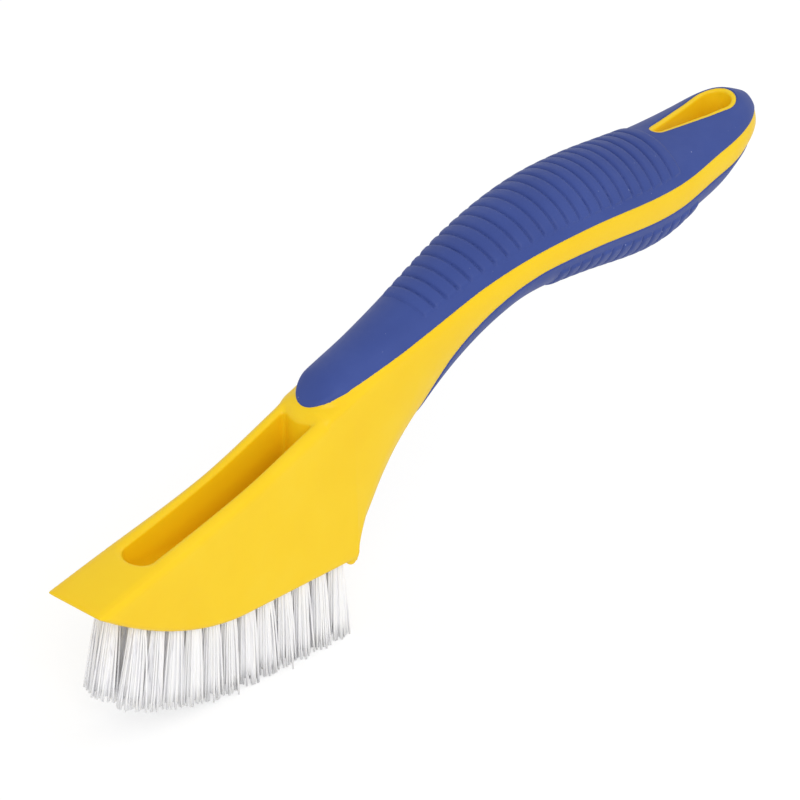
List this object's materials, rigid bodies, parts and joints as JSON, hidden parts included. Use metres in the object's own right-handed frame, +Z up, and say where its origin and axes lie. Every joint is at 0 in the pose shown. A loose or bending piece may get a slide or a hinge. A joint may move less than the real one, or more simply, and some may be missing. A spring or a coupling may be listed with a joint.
{
  "type": "grout brush",
  "caption": "Narrow scrubbing brush with a curved moulded handle, soft ribbed grips, a wedge-shaped head, a hanging hole and stiff filaments for cleaning tile joints.",
  "frame": {"origin": "bottom centre of the whole brush's box, on the plane of the filament tips, halfway along the length and width", "axes": "+X from the nose edge to the handle's end, +Y across to the brush's far side, +Z up out of the filaments"},
  "size_m": [0.236, 0.0294, 0.0977],
  "materials": {
    "body_plastic": "satin moulded polypropylene, yellow",
    "soft_grip": "matte soft-touch, blue",
    "filament": "milky clear nylon filament",
    "anchor_wire": "flat drawn wire"
  },
  "bodies": {
    "root": {"body": "body_plastic", "upper_grip": "soft_grip", "lower_grip": "soft_grip", "tuft_anchors": "anchor_wire", "tuft_01": "filament", "tuft_02": "filament", "tuft_03": "filament", "tuft_04": "filament", "tuft_05": "filament", "tuft_06": "filament", "tuft_07": "filament", "tuft_08": "filament", "tuft_09": "filament", "tuft_10": "filament", "tuft_11": "filament", "tuft_12": "filament", "tuft_13": "filament", "tuft_14": "filament", "tuft_15": "filament", "tuft_16": "filament", "tuft_17": "filament", "tuft_18": "filament", "tuft_19": "filament", "tuft_20": "filament", "tuft_21": "filament", "tuft_22": "filament", "tuft_23": "filament", "tuft_24": "filament", "tuft_25": "filament", "tuft_26": "filament", "tuft_27": "filament", "tuft_28": "filament", "tuft_29": "filament", "tuft_30": "filament", "tuft_31": "filament", "tuft_32": "filament", "tuft_33": "filament", "tuft_34": "filament", "tuft_35": "filament", "tuft_36": "filament"}
  },
  "joints": []
}
